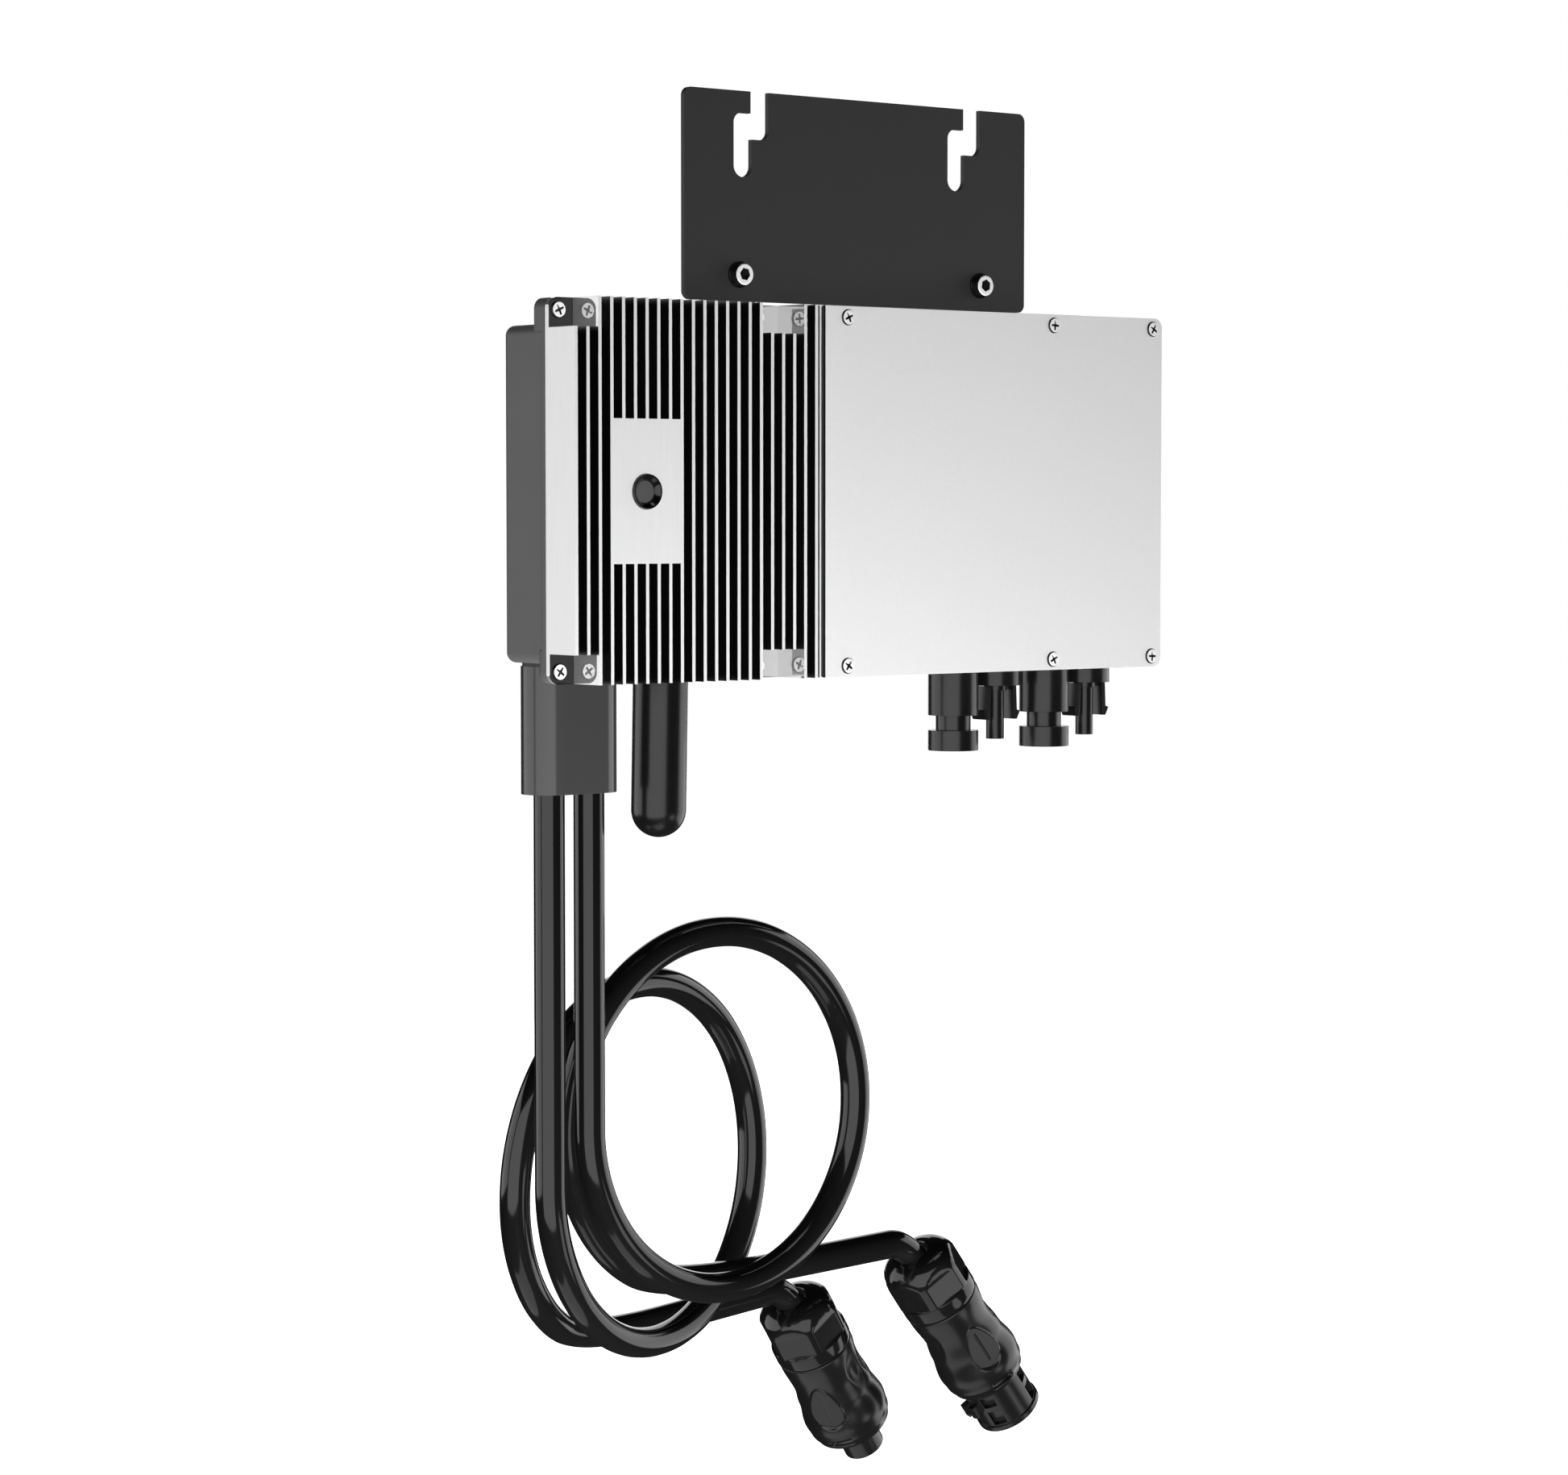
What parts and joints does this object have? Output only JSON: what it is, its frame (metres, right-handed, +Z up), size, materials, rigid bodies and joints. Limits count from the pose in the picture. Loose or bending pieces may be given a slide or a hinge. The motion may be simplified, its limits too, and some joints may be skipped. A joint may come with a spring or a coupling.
{
  "type": "micro inverter",
  "caption": "Flat solar micro inverter with a finned and panelled front, hook bracket above, panel connectors and antenna below, and two looped AC leads with plugs.",
  "frame": {"origin": "midway between the two hook seats of the bracket, on its back face", "axes": "+Z up, the finned front faces -Y, +X to the right seen from the front"},
  "size_m": [0.2755, 0.0984, 0.5158],
  "materials": {
    "cast_bright": "fine milled, clear coat",
    "cover_sheet": "bead blasted sheet",
    "dark_cast": "powder coated casting",
    "bracket_black": "satin powder coat",
    "screw_steel": "plain",
    "black_gloss": "moulded gloss",
    "black_matte": "moulded satin",
    "cable_jacket": "smooth jacket",
    "seal_rubber": "plain",
    "lens_smoke": "smoked",
    "contact_metal": "plated",
    "board_green": "solder mask",
    "ferrite": "sintered",
    "winding": "enamelled wire",
    "can_sleeve": "shrink sleeve",
    "film_yellow": "moulded box",
    "pad_grey": "silicone sheet",
    "shield_tin": "tinned"
  },
  "bodies": {
    "inverter": {"ac_cable_left": "cable_jacket", "ac_cable_right": "cable_jacket", "antenna_collar": "black_matte", "antenna_element": "contact_metal", "antenna_nut": "screw_steel", "antenna_radome": "black_matte", "antenna_seal": "seal_rubber", "board_screws": "screw_steel", "board_standoffs": "screw_steel", "bracket_screws": "screw_steel", "bracket_washers": "black_gloss", "bulk_capacitors": "can_sleeve", "cable_sleeve": "black_matte", "casting_screws": "screw_steel", "circuit_board": "board_green", "cover_gasket": "seal_rubber", "cover_screws": "screw_steel", "film_capacitors": "film_yellow", "filter_choke": "winding", "front_casting": "cast_bright", "front_cover": "cover_sheet", "housing_gasket": "seal_rubber", "lamp_bezel": "black_gloss", "lamp_lens": "lens_smoke", "lamp_seal": "seal_rubber", "left_cable_clamp": "black_matte", "left_gland_seal": "seal_rubber", "left_plug_insert": "black_matte", "left_plug_nose": "black_matte", "left_plug_pins": "contact_metal", "left_plug_shell": "black_gloss", "mounting_bracket": "bracket_black", "power_transistors": "black_matte", "pv_contacts": "contact_metal", "pv_lock_nuts": "black_matte", "pv_plug_1": "black_matte", "pv_plug_2": "black_matte", "pv_socket_1": "black_matte", "pv_socket_2": "black_matte", "rear_housing": "dark_cast", "relay": "black_matte", "right_cable_clamp": "black_matte", "right_gland_seal": "seal_rubber", "right_plug_contacts": "contact_metal", "right_plug_core": "black_matte", "right_plug_insert": "black_matte", "right_plug_shell": "black_gloss", "right_socket_ring": "black_matte", "sleeve_seal": "seal_rubber", "status_led": "black_matte", "thermal_pad": "pad_grey", "transformer_cores": "ferrite", "transformer_windings": "winding", "wireless_module": "shield_tin"},
    "left_gland_nut_body": {"left_gland_nut": "black_gloss"},
    "right_gland_nut_body": {"right_gland_nut": "black_gloss"},
    "pv_latch_1a_body": {"pv_latch_1a": "black_matte"},
    "pv_latch_1b_body": {"pv_latch_1b": "black_matte"},
    "pv_latch_2a_body": {"pv_latch_2a": "black_matte"},
    "pv_latch_2b_body": {"pv_latch_2b": "black_matte"}
  },
  "joints": [
    {"name": "left_gland_turn", "type": "hinge", "parent": "inverter", "child": "left_gland_nut_body", "pos_m": [0.02752, 0.06002, -0.43126], "axis": [0.5515, 0.0851, -0.8298], "range_deg": [-720, 0]},
    {"name": "right_gland_turn", "type": "hinge", "parent": "inverter", "child": "right_gland_nut_body", "pos_m": [0.07079, 0.0375, -0.41516], "axis": [0.5994, 0, -0.8005], "range_deg": [-720, 0]},
    {"name": "pv_latch_1a_flex", "type": "hinge", "parent": "inverter", "child": "pv_latch_1a_body", "pos_m": [0.0772, 0.013, -0.1876], "axis": [0, -1, 0], "range_deg": [0, 6], "stiffness_Nm_per_rad": 0.6},
    {"name": "pv_latch_1b_flex", "type": "hinge", "parent": "inverter", "child": "pv_latch_1b_body", "pos_m": [0.0901, 0.013, -0.1876], "axis": [0, 1, 0], "range_deg": [0, 6], "stiffness_Nm_per_rad": 0.6},
    {"name": "pv_latch_2a_flex", "type": "hinge", "parent": "inverter", "child": "pv_latch_2a_body", "pos_m": [0.12345, 0.013, -0.1876], "axis": [0, -1, 0], "range_deg": [0, 6], "stiffness_Nm_per_rad": 0.6},
    {"name": "pv_latch_2b_flex", "type": "hinge", "parent": "inverter", "child": "pv_latch_2b_body", "pos_m": [0.13635, 0.013, -0.1876], "axis": [0, 1, 0], "range_deg": [0, 6], "stiffness_Nm_per_rad": 0.6}
  ]
}
